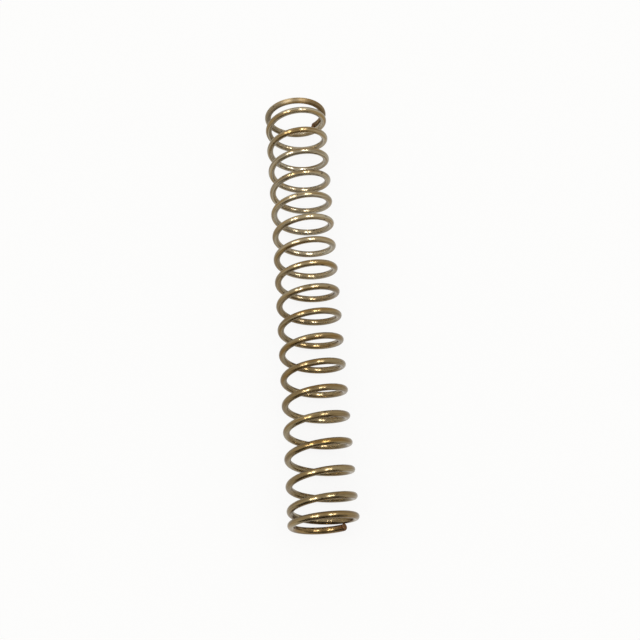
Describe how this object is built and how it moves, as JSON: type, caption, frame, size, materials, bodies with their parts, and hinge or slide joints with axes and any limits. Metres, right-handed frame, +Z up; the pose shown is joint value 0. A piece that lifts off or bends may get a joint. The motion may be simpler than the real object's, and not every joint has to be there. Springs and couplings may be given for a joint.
{
  "type": "compression spring",
  "caption": "Long helical compression spring of round wire, wound right-hand, with closed, unground ends that are cut square.",
  "frame": {"origin": "on the floor, under the middle of the spring as it lies", "axes": "+Y along the spring's axis towards its far end, +Z up, +X to the right seen from the near end"},
  "size_m": [0.0124, 0.0833, 0.0123],
  "materials": {
    "spring_wire": "bright drawn stainless spring wire, heat-tinted straw to brown"
  },
  "bodies": {
    "root": {"coil_spring": "spring_wire"}
  },
  "joints": []
}
